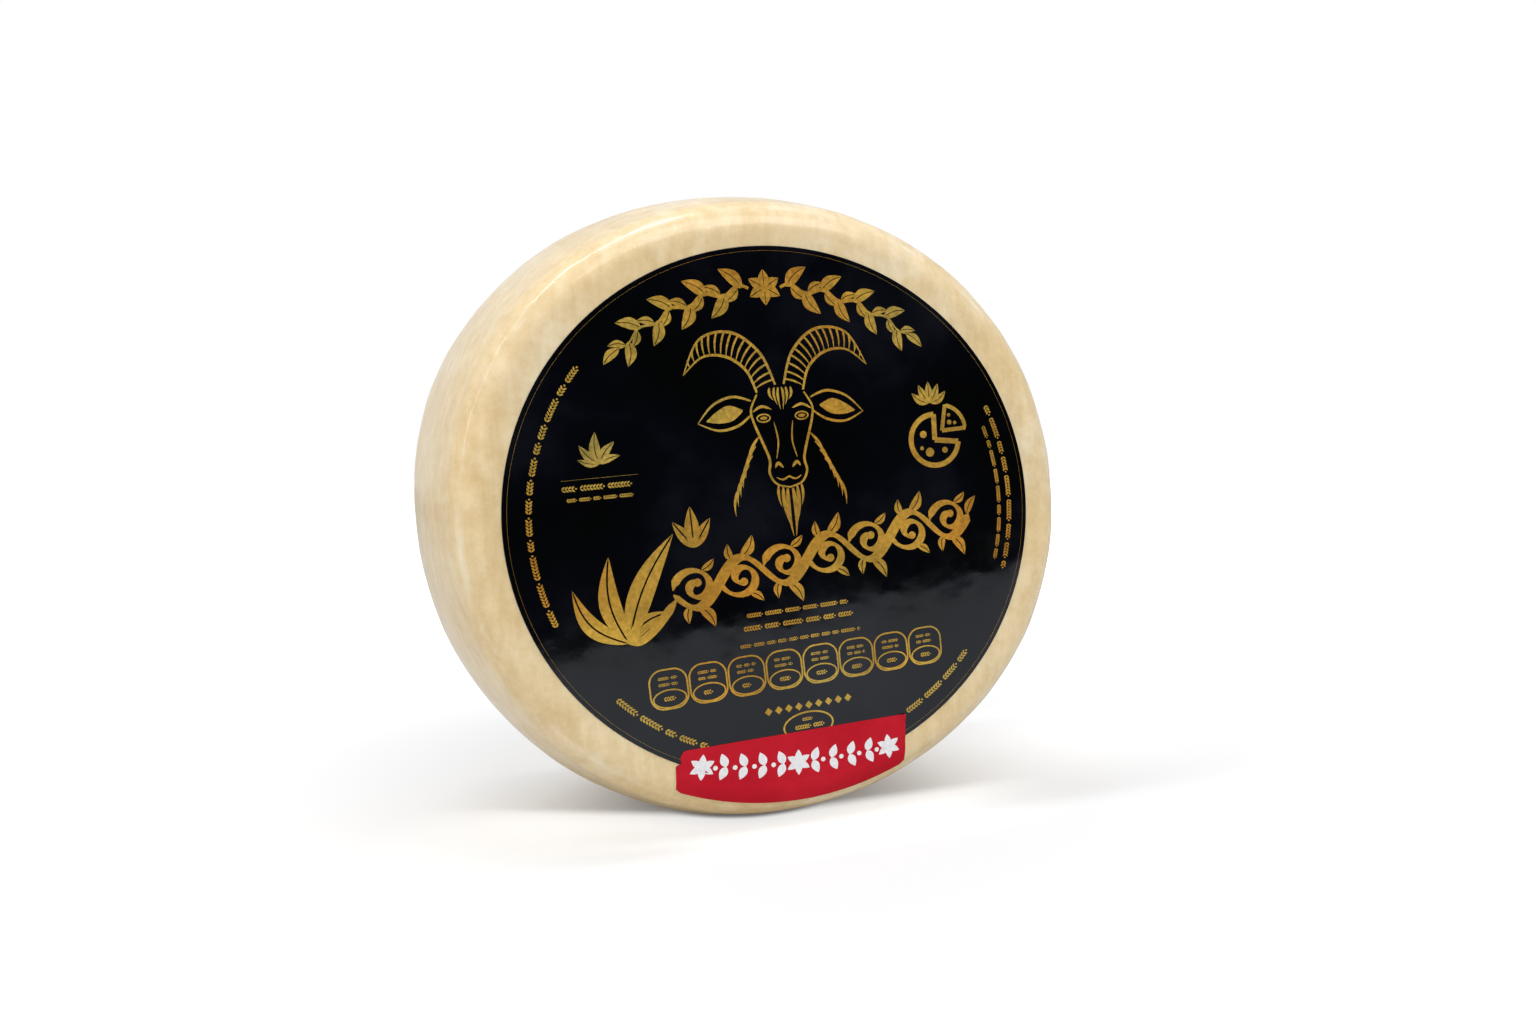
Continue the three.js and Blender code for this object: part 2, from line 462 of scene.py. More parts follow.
def cheese_material():
    """Waxy rind: cream with soft yellow patches, fine curd mottling and faint streaks, a painted
    highlight along the ridge, painted warm shade that makes it a little yellower towards the side
    it stands on, and faintly translucent."""
    rind = Surface("cheese_rind")
    axes = rind.axes()
    colour = rind.ramp(
        rind.noise(38, 3, 0.48),
        (0.34, (0.780, 0.60, 0.325)),
        (0.50, (0.810, 0.65, 0.390)),
        (0.66, (0.840, 0.71, 0.475)),
    )
    curd = rind.noise(210, 8, 0.74)
    across_rim = rind.noise(90, 4, 0.6, (1.0, 0.12, 1.0))
    upright = rind.noise(420, 4, 0.6, (1.0, 1.0, 0.2))
    off_the_back = rind.remap(axes["Y"], 1.0, 0.15, 0.3 * BACK_Y, BACK_Y)
    for share, pattern, dark, light in (
        (1.0, curd, (0.935, 0.905, 0.83), (1.035, 1.05, 1.09)),
        (1.0, across_rim, (0.965, 0.95, 0.92), (1.02, 1.03, 1.045)),
        (off_the_back, upright, (0.96, 0.94, 0.90), (1.025, 1.035, 1.06)),
    ):
        tint = rind.ramp(pattern, (0.38, dark), (0.61, light))
        colour = rind.mix(share, colour, tint, "MULTIPLY")
    # painted highlight: a pale broken line along the ridge on the front shoulder
    colour = rind.mix(painted_ridge_highlight(rind, axes["Y"]), colour, (0.93, 0.86, 0.70, 1))
    # painted shade: warmer and yellower towards the bottom, paler towards the lit top
    up = rind.remap(axes["Z"], 0.0, 1.0, 0.0, 0.13)
    painted_warm_shade = rind.ramp(up, (0.10, (0.99, 0.94, 0.825)), (0.85, (1.0, 1.0, 1.02)))
    colour = rind.mix(1.0, colour, painted_warm_shade, "MULTIPLY")
    lumps = rind.bump(rind.noise(210, 3, 0.5), 0.25 * MM, 0.5)
    return rind.finished(
        {
            "Base Color": colour,
            "Roughness": rind.remap(rind.noise(120, 4, 0.6), 0.30, 0.50),
            "Normal": rind.bump(rind.noise(900, 4, 0.6), 0.05 * MM, 0.6, under=lumps),
            "Subsurface Weight": 0.25,
            "Subsurface Radius": (1.0, 0.6, 0.3),
            "Subsurface Scale": 3 * MM,
            "IOR": 1.45,
            "Coat Weight": 0.5,
            "Coat Roughness": 0.07,
        }
    )


def label_material():
    """Glossy black film, faintly blue, with a fine orange-peel and a little uneven gloss."""
    film = Surface("label_film")
    black = film.ramp(
        film.noise(30, 4, 0.6),
        (0.38, (0.0010, 0.0012, 0.0012)),
        (0.52, (0.0016, 0.0019, 0.0036)),
        (0.70, (0.0060, 0.0068, 0.0105)),
    )
    return film.finished(
        {
            "Base Color": black,
            "Roughness": film.remap(film.noise(140, 4, 0.6), 0.05, 0.13),
            "Normal": film.bump(film.noise(420, 2), 0.02 * MM, 0.35),
            "IOR": 1.5,
            "Specular Tint": (0.90, 0.94, 1.0, 1),
        }
    )


def foil_material():
    """Gold foil print: satin metal whose tone drifts from orange gold to olive gold."""
    foil = Surface("gold_foil")
    gold = foil.ramp(
        foil.noise(22, 2),
        (0.36, (0.76, 0.36, 0.040)),
        (0.50, (0.82, 0.51, 0.075)),
        (0.64, (0.68, 0.50, 0.115)),
    )
    shade = foil.noise(75, 3, 0.55)
    grain = foil.noise(1500, 3, 0.6)
    for tint in (
        foil.ramp(shade, (0.36, (0.74, 0.75, 0.78)), (0.60, (1.06, 1.05, 1.02))),
        foil.ramp(grain, (0.35, (0.82, 0.80, 0.76)), (0.65, (1.08, 1.08, 1.10))),
    ):
        gold = foil.mix(1.0, gold, tint, "MULTIPLY")
    return foil.finished(
        {
            "Base Color": gold,
            "Metallic": 0.65,
            "Roughness": foil.remap(grain, 0.34, 0.5),
            "Normal": foil.bump(grain, 0.01 * MM, 0.4),
        }
    )


def sticker_material():
    """Red printed film, satin, with faint tone variation."""
    film = Surface("sticker_film")
    drift = film.noise(90, 4, 0.6)
    red = film.ramp(drift, (0.35, (0.50, 0.011, 0.024)), (0.65, (0.57, 0.016, 0.030)))
    return film.finished(
        {
            "Base Color": red,
            "Roughness": film.remap(drift, 0.28, 0.42),
            "Specular IOR Level": 0.025,
            "Normal": film.bump(film.noise(1200, 3, 0.6), 0.01 * MM, 0.5),
        }
    )


def white_ink_material():
    """White ink, with a faint paper-like unevenness."""
    ink = Surface("sticker_white")
    speckle = ink.noise(1400, 3, 0.6)
    return ink.finished(
        {
            "Base Color": ink.ramp(speckle, (0.35, (0.80, 0.79, 0.80)), (0.65, (0.90, 0.90, 0.92))),
            "Roughness": ink.remap(speckle, 0.35, 0.5),
            "Normal": ink.bump(speckle, 0.01 * MM, 0.4),
        }
    )


# ---------------------------------------------------------------- the cheese
ROUND_STEPS = 540
FACE_STEPS = 26
SHOULDER_STEPS = 36
CROWN_STEPS = 60


def wheel_profile():
    """(rho, y from mid-thickness, normal's rho part, normal's y part) from front to back."""
    rows = []
    crown_rho = WHEEL_RADIUS - CROWN_RADIUS
    for i in range(1, FACE_STEPS):
        rows.append((FLAT_RADIUS * i / FACE_STEPS, -HALF_THICKNESS, 0.0, -1.0))
    for i in range(SHOULDER_STEPS):
        a = lerp(-math.pi / 2, -JOIN_ANGLE, i / SHOULDER_STEPS)
        c, s = math.cos(a), math.sin(a)
        rows.append((FLAT_RADIUS + SHOULDER_RADIUS * c, -SHOULDER_Y + SHOULDER_RADIUS * s, c, s))
    for i in range(CROWN_STEPS + 1):
        a = lerp(-JOIN_ANGLE, JOIN_ANGLE, i / CROWN_STEPS)
        c, s = math.cos(a), math.sin(a)
        rows.append((crown_rho + CROWN_RADIUS * c, CROWN_RADIUS * s, c, s))
    front = rows[: FACE_STEPS - 1 + SHOULDER_STEPS]
    for rho, y, c, s in reversed(front):
        rows.append((rho, -y, c, -s))
    return rows


def make_cheese():
    """The wheel's profile turned about its axis, with relief, and flat where it stands."""
    rows = wheel_profile()
    vertices = []
    for rho, y, radial, axial in rows:
        for k in range(ROUND_STEPS):
            angle = 2 * math.pi * k / ROUND_STEPS
            relief = cheese_relief(rho, y, angle, radial)
            r = rho + relief * radial
            x = r * math.cos(angle)
            z = AXIS_HEIGHT + r * math.sin(angle)
            vertices.append((x, MIDDLE_Y + y + relief * axial, max(z, 0.0)))
    middle = len(vertices)
    vertices.append((0, skin_y(0, 0), AXIS_HEIGHT))
    vertices.append((0, BACK_Y, AXIS_HEIGHT))
    faces = ring_faces(0, len(rows), ROUND_STEPS)
    faces += fan_faces(middle, 0, ROUND_STEPS)
    faces += fan_faces(middle + 1, middle - ROUND_STEPS, ROUND_STEPS, flipped=True)
    piece = new_mesh_object("cheese_body", vertices, faces, cheese_material())
    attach(piece, "root")
    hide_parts("cheese_wheel")


# ---------------------------------------------------------------- the label film
LABEL_RINGS = 90
LABEL_SPOKES = 360
LABEL_EDGE_SHARE = 0.9988  # the last ring but one, which keeps the cut edge crisp
LABEL_DEPTH = 1.4 * FILM  # the back lies just inside the cheese's skin


def make_label():
    """A disc of film that follows the face, closed by its cut edge and a back just inside."""
    drop = LABEL_HEIGHT - AXIS_HEIGHT
    vertices = [(0, film_y(0, drop), LABEL_HEIGHT)]
    for ring in range(1, LABEL_RINGS + 1):
        share = LABEL_EDGE_SHARE if ring == LABEL_RINGS - 1 else ring / LABEL_RINGS
        rho = LABEL_RADIUS * share
        for k in range(LABEL_SPOKES):
            angle = 2 * math.pi * k / LABEL_SPOKES
            x, z = rho * math.cos(angle), rho * math.sin(angle)
            vertices.append((x, film_y(x, z + drop), LABEL_HEIGHT + z))
    back = len(vertices)
    for x, y, z in vertices[-LABEL_SPOKES:]:
        vertices.append((x, y + LABEL_DEPTH, z))
    middle_back = len(vertices)
    vertices.append((0, film_y(0, drop) + LABEL_DEPTH, LABEL_HEIGHT))
    faces = fan_faces(0, 1, LABEL_SPOKES)
    faces += ring_faces(1, LABEL_RINGS + 1, LABEL_SPOKES)
    faces += fan_faces(middle_back, back, LABEL_SPOKES, flipped=True)
    piece = new_mesh_object("label_film", vertices, faces, label_material())
    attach(piece, "root")
    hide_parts("round_label")


# ---------------------------------------------------------------- drawing with flat bands of ink
# Points are (across, up) in millimetres. A band is the ink between a left and a right edge.
LEAST_HALF_WIDTH = 0.012  # so that a line's thin ends still have two sides
EAR_FLARE = math.radians(38)  # how far an ear's seeds lean out from its row
BAND_LEVELS = 9  # bands lie at slightly different heights, so that no two tops lie in one plane
BAND_STEP = 0.0025 * MM


def between(p, q, t):
    """The point at share t of the way from p to q."""
    return (lerp(p[0], q[0], t), lerp(p[1], q[1], t))


def run_at(points, i, closed=False):
    """The way that a line of points runs at one of them."""
    count = len(points)
    if closed:
        before, after = points[i - 1], points[(i + 1) % count]
    else:
        before, after = points[max(i - 1, 0)], points[min(i + 1, count - 1)]
    return after[0] - before[0], after[1] - before[1]


def arc_points(centre, radius, start, end, steps):
    """Points on an arc, or on an ellipse's where radius is a pair; angles in degrees."""
    rx, rz = radius if isinstance(radius, tuple) else (radius, radius)
    points = []
    for i in range(steps + 1):
        a = math.radians(lerp(start, end, i / steps))
        points.append((centre[0] + rx * math.cos(a), centre[1] + rz * math.sin(a)))
    return points


def bezier_points(control, steps=14):
    """Points on the Bezier curve of three or four control points."""
    points = []
    for i in range(steps + 1):
        level = list(control)
        t = i / steps
        while len(level) > 1:
            level = [between(p, q, t) for p, q in zip(level, level[1:])]
        points.append(level[0])
    return points


def spline_points(knots, steps=6):
    """Points on a smooth curve, a Catmull-Rom spline, through the knots."""
    padded = [knots[0]] + list(knots) + [knots[-1]]
    points = []
    for p0, p1, p2, p3 in zip(padded, padded[1:], padded[2:], padded[3:]):
        for i in range(steps):
            t = i / steps
            weights = (
                -0.5 * t + t * t - 0.5 * t**3,
                1 - 2.5 * t * t + 1.5 * t**3,
                0.5 * t + 2 * t * t - 1.5 * t**3,
                -0.5 * t * t + 0.5 * t**3,
            )
            knot_set = (p0, p1, p2, p3)
            points.append(
                tuple(sum(w * k[axis] for w, k in zip(weights, knot_set)) for axis in (0, 1))
            )
    points.append(knots[-1])
    return points


def brush(thick, start=0.15, end=0.1, peak=0.45):
    """A brush's width along a stroke: thin ends and a swelling, as shares of its thickest."""

    def width(t):
        if t < peak:
            return thick * lerp(start, 1, math.sin(math.pi / 2 * t / peak))
        return thick * lerp(end, 1, math.sin(math.pi / 2 * (1 - t) / (1 - peak)))

    return width


class Drawing:
    """A set of ink bands."""

    def __init__(self):
        self.bands = []

    def band(self, left, right, closed=False):
        self.bands.append((left, right, closed))

    def stroke(self, points, width, closed=False):
        """A line of ink along points, of one width or of width(t) with t from 0 to 1."""
        left, right = [], []
        for i, (x, z) in enumerate(points):
            dx, dz = run_at(points, i, closed)
            length = math.hypot(dx, dz) or 1.0
            full = width(i / (len(points) - 1)) if callable(width) else width
            half = max(full / 2, LEAST_HALF_WIDTH)
            nx, nz = -dz / length * half, dx / length * half
            left.append((x + nx, z + nz))
            right.append((x - nx, z - nz))
        self.band(left, right, closed)

    def pen_stroke(self, points, thin, thick, slant=58.0, taper=0.12):
        """A broad pen's line: thick where it runs along the slant, thin across it."""
        widths = []
        count = len(points)
        for i in range(count):
            dx, dz = run_at(points, i)
            share = abs(math.cos(math.atan2(dz, dx) - math.radians(slant))) ** 1.4
            t = i / (count - 1)
            ends = smoothstep(0, taper, t) * smoothstep(0, taper, 1 - t)
            widths.append(lerp(0.25 * thin, lerp(thin, thick, share), ends))
        self.stroke(points, lambda t: widths[round(t * (count - 1))])

    def disc(self, centre, radius, steps=12):
        upper = arc_points(centre, radius, 178, 2, steps)
        lower = arc_points(centre, radius, 182, 358, steps)
        self.band(upper, lower)

    def leaf(self, base, angle, length, width, bend=0.12, vein=0.16, steps=12):
        """A leaf in two halves with a bare vein between them, or whole where the vein is 0; bend
        bows its midline."""
        c, s = math.cos(math.radians(angle)), math.sin(math.radians(angle))
        left_rim, left_rib, right_rib, right_rim = edges = ([], [], [], [])
        for i in range(steps + 1):
            t = i / steps
            along = length * t
            bow = bend * length * math.sin(math.pi * t)
            swell = width / 2 * math.sin(math.pi * t**0.8) ** 0.85
            gap = min(vein / 2, 0.5 * swell)
            swell = max(swell, gap + 2 * LEAST_HALF_WIDTH)
            for edge, out in zip(edges, (swell, gap, -gap, -swell)):
                off = bow + out
                edge.append((base[0] + c * along - s * off, base[1] + s * along + c * off))
        if vein == 0:
            self.band(left_rim, right_rim)
        else:
            self.band(left_rim, left_rib)
            self.band(right_rib, right_rim)

    def ears(self, points, height, seed):
        """A row of small ears of wheat, of uneven lengths: pairs of equal seeds, then a bead."""
        draw = random.Random(seed)
        lengths = [0.0]
        for p, q in zip(points, points[1:]):
            lengths.append(lengths[-1] + math.dist(p, q))

        def along(distance):
            i = max(k for k in range(len(points) - 1) if lengths[k] <= distance)
            t = (distance - lengths[i]) / (lengths[i + 1] - lengths[i])
            (x0, z0), (x1, z1) = points[i], points[i + 1]
            return *between(points[i], points[i + 1], t), math.atan2(z1 - z0, x1 - x0)

        tall, thick, pitch, bead = 0.58 * height, 0.25 * height, 0.40 * height, 0.13 * height
        done = 0.2 * height
        while done + 2 * pitch < lengths[-1]:
            pairs = min(draw.randint(3, 7), int((lengths[-1] - done) / pitch) - 1)
            for k in range(pairs):
                x, z, run = along(done + k * pitch)
                for flare in (-1, 1):
                    a = run + flare * EAR_FLARE
                    dx, dz = tall * math.cos(a), tall * math.sin(a)
                    shape = [(x + dx * t, z + dz * t) for t in (0.12, 0.4, 0.7, 1.0)]
                    self.stroke(shape, brush(thick, 0.4, 0.2, 0.5))
            done += (pairs + 0.55) * pitch
            x, z, _ = along(done)
            self.disc((x, z), bead, 4)
            done += 1.15 * pitch

    def both_sides(self, half, dx=0.0, dz=0.0):
        """Takes over half a drawing and the same mirrored, moved across by dx and up by dz."""
        for side in (1, -1):
            for left, right, closed in half.bands:
                edges = (left, right) if side == 1 else (right, left)
                moved = [[(side * x + dx, z + dz) for x, z in edge] for edge in edges]
                self.band(moved[0], moved[1], closed)


def bands_to_solid(drawing, place, widest=1.6):
    """Vertices and faces of a thin solid for each band, cut lengthwise where it is wider than
    widest. place(point, sink) gives the position of a drawing point, sink below the print's
    top."""
    vertices, faces = [], []
    depth = 2 * PRINT_HEIGHT
    for index, (left, right, closed) in enumerate(drawing.bands):
        width = max(math.dist(p, q) for p, q in zip(left, right))
        cuts = max(1, math.ceil(width / widest))
        lower = (index % BAND_LEVELS) * BAND_STEP
        first = len(vertices)
        ring = cuts + 3
        for p, q in zip(left, right):
            for j in range(cuts + 1):
                vertices.append(place(between(p, q, j / cuts), lower))
            vertices.append(place(q, depth))
            vertices.append(place(p, depth))
        sections = len(left)
        for i in range(sections if closed else sections - 1):
            a = first + i * ring
            b = first + ((i + 1) % sections) * ring
            for j in range(ring):
                n = (j + 1) % ring
                faces.append((a + j, a + n, b + n, b + j))
        if not closed:
            faces.append(tuple(first + j for j in reversed(range(ring))))
            end = first + (sections - 1) * ring
            faces.append(tuple(end + j for j in range(ring)))
    return vertices, faces


# ---------------------------------------------------------------- the label's printing
def top_garland():
    """Two leafy sprays along the top of the label, meeting at a flower."""
    radius, inner, outer = 47.4, 86.0, 50.5  # of the stem's arc, and its ends in degrees
    spray = Drawing()
    stem = []
    for i in range(61):
        t = i / 60
        angle = math.radians(lerp(inner, outer, t))
        r = radius + 0.8 * math.sin(t * 8 * math.pi) * (1 - 0.4 * t)
        stem.append((r * math.cos(angle), r * math.sin(angle)))
    spray.stroke(stem, brush(0.75, 0.8, 0.3, 0.2))
    for k in range(8):
        t = (k + 0.35) / 8
        angle = lerp(inner, outer, t)
        a = math.radians(angle)
        outward = 1 if k % 2 == 0 else -1
        r = radius + 0.25 * outward
        base = (r * math.cos(a), r * math.sin(a))
        size = lerp(6.0, 4.8, t)
        spray.leaf(base, angle - 90 + outward * 46, size, 0.46 * size, 0.10 * outward)
        small = (r * math.cos(a - 0.02), r * math.sin(a - 0.02))
        spray.leaf(small, angle - 90 - outward * 34, 0.68 * size, 0.30 * size, -0.1 * outward)
    spray.leaf(stem[-1], -42, 4.4, 1.9, 0.08)
    drawing = Drawing()
    drawing.both_sides(spray)
    for k in range(6):
        drawing.leaf((0, radius), 90 + 60 * k, 3.6, 2.3, 0.0)
    return drawing


def goat_head():
    """A goat's head from the front in fine lines, with ridged horns and gold-lined ears."""
    side = Drawing()
    cheek = [(5.0, 7.4), (6.5, 4.4), (6.2, 1.8), (4.9, -2.2)]
    muzzle = [(3.7, -6.2), (4.0, -9.0), (2.7, -11.3), (0.0, -12.2)]
    side.stroke(spline_points(cheek + muzzle), brush(0.55, 0.6, 0.6, 0.5))
    upper = spline_points([(0.9, 9.2), (3.4, 15.8), (8.8, 20.2), (15.4, 19.2), (19.4, 12.2)], 9)
    lower = spline_points([(4.9, 7.8), (6.6, 12.4), (10.4, 15.4), (15.2, 15.6), (19.4, 12.2)], 9)
    side.stroke(upper, brush(0.60, 0.7, 0.3, 0.4))
    side.stroke(lower, brush(0.60, 0.7, 0.3, 0.4))
    for k in range(2, 34, 2):
        p, q = upper[k], lower[k]
        x, z = between(p, q, 0.5)
        side.stroke(bezier_points((p, (x + 0.5, z + 0.35), q), 6), brush(0.42, 0.8, 0.25, 0.3))
    for ear_edge in (
        [(6.3, 6.2), (10.0, 7.3), (14.2, 5.9), (17.6, 2.4)],
        [(6.5, 3.4), (9.6, 1.3), (13.6, 0.7), (17.6, 2.4)],
    ):
        side.stroke(spline_points(ear_edge), brush(0.55, 0.6, 0.3, 0.4))
    inner_top = spline_points([(8.2, 4.5), (11.0, 5.6), (13.6, 4.5), (15.8, 2.8)])
    inner_low = spline_points([(8.2, 4.2), (10.4, 2.5), (13.2, 2.1), (15.8, 2.6)])
    side.band(inner_top, inner_low)
    eye = arc_points((4.05, 2.5), (1.35, 0.8), 0, 345, 23)
    side.stroke(eye, 0.30, closed=True)
    side.disc((4.05, 2.5), (0.75, 0.34), 8)
    for knots, ink in (
        ([(2.2, 4.2), (4.3, 4.9), (6.2, 3.9)], brush(0.6, 0.2, 0.2, 0.5)),
        ([(2.0, 1.6), (1.5, -2.4), (2.2, -6.0)], brush(0.35, 0.2, 0.3)),
        ([(1.0, -8.0), (2.0, -7.0), (2.7, -7.9)], brush(0.7, 0.3, 0.2)),
        ([(0.0, -9.9), (1.4, -10.5), (2.7, -9.9)], brush(0.4, 0.8, 0.2, 0.3)),
    ):
        side.stroke(spline_points(knots), ink)
    for start, end, thick in (
        ((0.55, -12.4), (0.25, -22.6), 0.9),
        ((1.5, -12.1), (0.9, -19.6), 0.8),
        ((2.4, -11.6), (2.1, -16.2), 0.6),
    ):
        x, z = between(start, end, 0.5)
        side.stroke(bezier_points((start, (x + 0.7, z), end)), brush(thick, 0.5, 0.05, 0.3))
    for k in range(6):
        start = (5.4 + 0.9 * k, -1.2 - 1.9 * k)
        end = (start[0] + 3.0 - 0.2 * k, start[1] - 6.4)
        bow = (start[0] + 2.6, start[1] - 2.4)
        side.stroke(bezier_points((start, bow, end)), brush(0.62, 0.3, 0.05, 0.35))
    for x, length in ((0.35, 4.6), (1.2, 3.6), (2.2, 2.6)):
        side.stroke(
            bezier_points(((x, 8.6), (x + 0.5, 7.0), (0.7 * x, 8.6 - length))),
            brush(0.55, 0.5, 0.05, 0.3),
        )
    head = Drawing()
    head.both_sides(side, 1.0, 18.4)
    return head


def left_emblem():
    """A small sprig over two rows of fine ears."""
    drawing = Drawing()
    base = (-36.4, 14.6)
    for angle, length in ((92, 6.2), (132, 5.2), (52, 5.2), (165, 4.2), (18, 4.2)):
        drawing.leaf(base, angle, length, 0.34 * length, 0.08)
    drawing.stroke([(-44.0, 11.9), (-29.4, 11.9)], brush(0.22, 0.2, 0.2, 0.5))
    drawing.ears([(-44.4, 10.2), (-29.2, 10.2)], 1.5, seed=3)
    drawing.ears([(-43.6, 8.0), (-29.8, 8.0)], 1.0, seed=4)
    return drawing


def right_emblem():
    """A cut wheel in bold lines, with its wedge pulled out of it and a spray of leaves above."""
    drawing = Drawing()
    cx, cz, radius = 34.6, 13.2, 5.6
    drawing.stroke(arc_points((cx, cz), radius, 88, 352, 44), 1.15)
    for angle in (88, 352):
        a = math.radians(angle)
        rim = (cx + radius * math.cos(a), cz + radius * math.sin(a))
        drawing.stroke([(cx, cz), rim], 1.15)
    wx, wz = cx + 1.9, cz + 1.9
    wedge = [(wx, wz)] + arc_points((wx, wz), radius, 2, 78, 14)
    drawing.stroke(wedge + [(wx, wz)], 0.9)
    for x, z, r in ((-2.6, 1.4, 0.8), (-1.4, -2.6, 1.0), (2.2, -2.4, 0.65), (-3.2, -1.6, 0.45)):
        drawing.disc((cx + x, cz + z), r)
    for x, z, r in ((1.9, 1.7, 0.55), (3.2, 1.5, 0.4), (1.9, 3.3, 0.4)):
        drawing.disc((wx + x, wz + z), r)
    for k in range(5):
        drawing.leaf((cx - 0.5, 21.4), 150 - 30 * k, 4.6, 1.8, 0.06 * (2 - k))
    return drawing


def scroll_line(x):
    """Height of the big scroll's middle line, which rises to the right."""
    return -9.6 + 0.137 * x


def scroll_bay(drawing, cx, pitch, sign):
    """One bay of the scroll: a spiral branch that ends in a berry, and leaves on the crest."""
    cz = scroll_line(cx)
    curl = []
    for i in range(44):
        turn = math.radians(465 * i / 43)
        r = 0.5 * pitch * math.exp(-0.185 * turn)
        curl.append((cx - r * math.cos(turn), cz - sign * (r * math.sin(turn) + 0.2)))
    drawing.pen_stroke(curl, 0.75, 1.75, taper=0.05)
    drawing.disc(curl[-1], 0.85)
    crest = (cx + 0.2, cz + sign * 3.9)
    drawing.leaf(crest, sign * 58, 5.2, 2.3, -0.12 * sign, vein=0.2)
    drawing.leaf((crest[0] - 2.0, crest[1] - 0.5 * sign), sign * 98, 3.6, 1.7, 0.1 * sign, vein=0.2)
    foot = (cx + 1.4, cz - sign * 3.6)
    drawing.leaf(foot, -sign * 38, 3.4, 1.6, 0.1 * sign, vein=0.2)


def big_scroll():
    """A bold running vine across the label, with a spray of large leaves where it springs."""
    drawing = Drawing()
    root = (-35.2, -21.6)
    for angle, length, width, bend in (
        (62, 23.6, 4.9, 0.06),
        (96, 17.8, 4.2, 0.10),
        (128, 15.2, 3.6, 0.16),
        (30, 10.4, 3.0, 0.14),
    ):
        drawing.leaf(root, angle, length, width, bend, vein=0.35, steps=20)
    start_x, pitch, swing, waves = -25.4, 9.5, 3.9, 7
    stem = []
    for i in range(waves * 14 + 1):
        x = start_x + pitch * i / 14
        stem.append((x, scroll_line(x) - swing * math.sin(math.pi * (x - start_x) / pitch)))
    drawing.pen_stroke(stem, 1.0, 2.3, taper=0.01)
    lead_in = bezier_points((root, (-32.0, -23.0), (-27.4, -17.0), stem[1]))
    drawing.pen_stroke(lead_in, 0.9, 1.8, taper=0.2)
    for k in range(waves):
        scroll_bay(drawing, start_x + (k + 0.5) * pitch, pitch, -1 if k % 2 == 0 else 1)
    tip = stem[-1]
    drawing.leaf((tip[0] - 0.5, tip[1]), 58, 4.6, 1.9, 0.1)
    for angle, length in ((90, 8.4), (124, 6.8), (56, 6.8)):
        drawing.leaf((-20.2, -4.0), angle, length, 0.36 * length, 0.0, vein=0.3)
    return drawing


def facts_panel():
    """Three rows of ears, eight round-cornered cells with an oval at each foot, a row of diamonds
    and one more oval."""
    drawing = Drawing()
    for z, half, height, seed in (
        (-19.6, 11.4, 1.25, 11),
        (-22.3, 12.4, 1.45, 12),
        (-25.9, 13.4, 1.05, 13),
    ):
        drawing.ears([(-half, z), (half, z)], height, seed)
    pitch, half_width, low, high, corner = 8.04, 3.78, -36.2, -28.0, 2.7
    for k in range(8):
        x = -0.4 + (k - 3.5) * pitch
        outline = []
        for sx, sz, start in ((1, 1, 0), (-1, 1, 90), (-1, -1, 180), (1, -1, 270)):
            centre = (x + sx * (half_width - corner), (high if sz > 0 else low) - sz * corner)
            outline += arc_points(centre, corner, start, start + 90, 7)
        drawing.stroke(outline, 0.34, closed=True)
        drawing.stroke(arc_points((x, -34.1), (3.3, 1.85), 0, 352, 43), 0.30, closed=True)
        drawing.ears([(x - 1.5, -34.1), (x + 1.5, -34.1)], 1.25, 30 + k)
        drawing.ears([(x - 2.2, -29.8), (x + 2.2, -29.8)], 0.85, 40 + k)
        drawing.ears([(x - 2.2, -31.1), (x + 2.2, -31.1)], 0.85, 50 + k)
    for k in range(9):
        x = (k - 4) * 2.2
        drawing.band(
            [(x - 0.8, -40.6), (x, -39.75), (x + 0.8, -40.6)],
            [(x - 0.8, -40.64), (x, -41.5), (x + 0.8, -40.64)],
        )
    drawing.stroke(arc_points((-0.5, -45.0), (5.4, 2.9), 0, 354, 59), 0.36, closed=True)
    drawing.ears([(-2.0, -43.6), (1.2, -43.6)], 1.0, 60)
    drawing.ears([(-3.8, -45.2), (3.2, -45.2)], 1.3, 61)
    return drawing


def border_ears():
    """Rows of fine ears in arcs near the edge, and the hairline ring that frames the label."""
    drawing = Drawing()
    for radius, start, end, height, seed in (
        (50.9, 199, 138, 1.6, 71),
        (51.4, 23, -20, 1.6, 72),
        (48.9, 18.5, -18, 1.25, 73),
        (50.6, 219.5, 245, 1.7, 74),
        (51.2, 295, 318, 1.7, 75),
    ):
        steps = max(8, int(abs(end - start)))
        drawing.ears(arc_points((0, 0), radius, start, end, steps), height, seed)
    ring = LABEL_RADIUS / MM - 0.95
    drawing.stroke(arc_points((0, 0), ring, 0, 359, 359), 0.032, closed=True)
    return drawing


def on_label(point, sink):
    """Place of a print point on the film's front, sink below the print's top."""
    x, z = point[0] * MM, point[1] * MM
    c, s = math.cos(PRINT_ROLL), math.sin(PRINT_ROLL)
    across, up = x * c - z * s, x * s + z * c
    height = LABEL_HEIGHT + up
    return (across, film_y(across, height - AXIS_HEIGHT, PRINT_HEIGHT - sink), height)


def make_label_print():
    gold = foil_material()
    for name, drawing in (
        ("print_garland", top_garland()),
        ("print_goat_head", goat_head()),
        ("print_sprig", left_emblem()),
        ("print_cut_wheel", right_emblem()),
        ("print_scroll", big_scroll()),
        ("print_facts_panel", facts_panel()),
        ("print_border", border_ears()),
    ):
        vertices, faces = bands_to_solid(drawing, on_label)
        piece = new_mesh_object(name, vertices, faces, gold, smooth=False)
        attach(piece, "root")


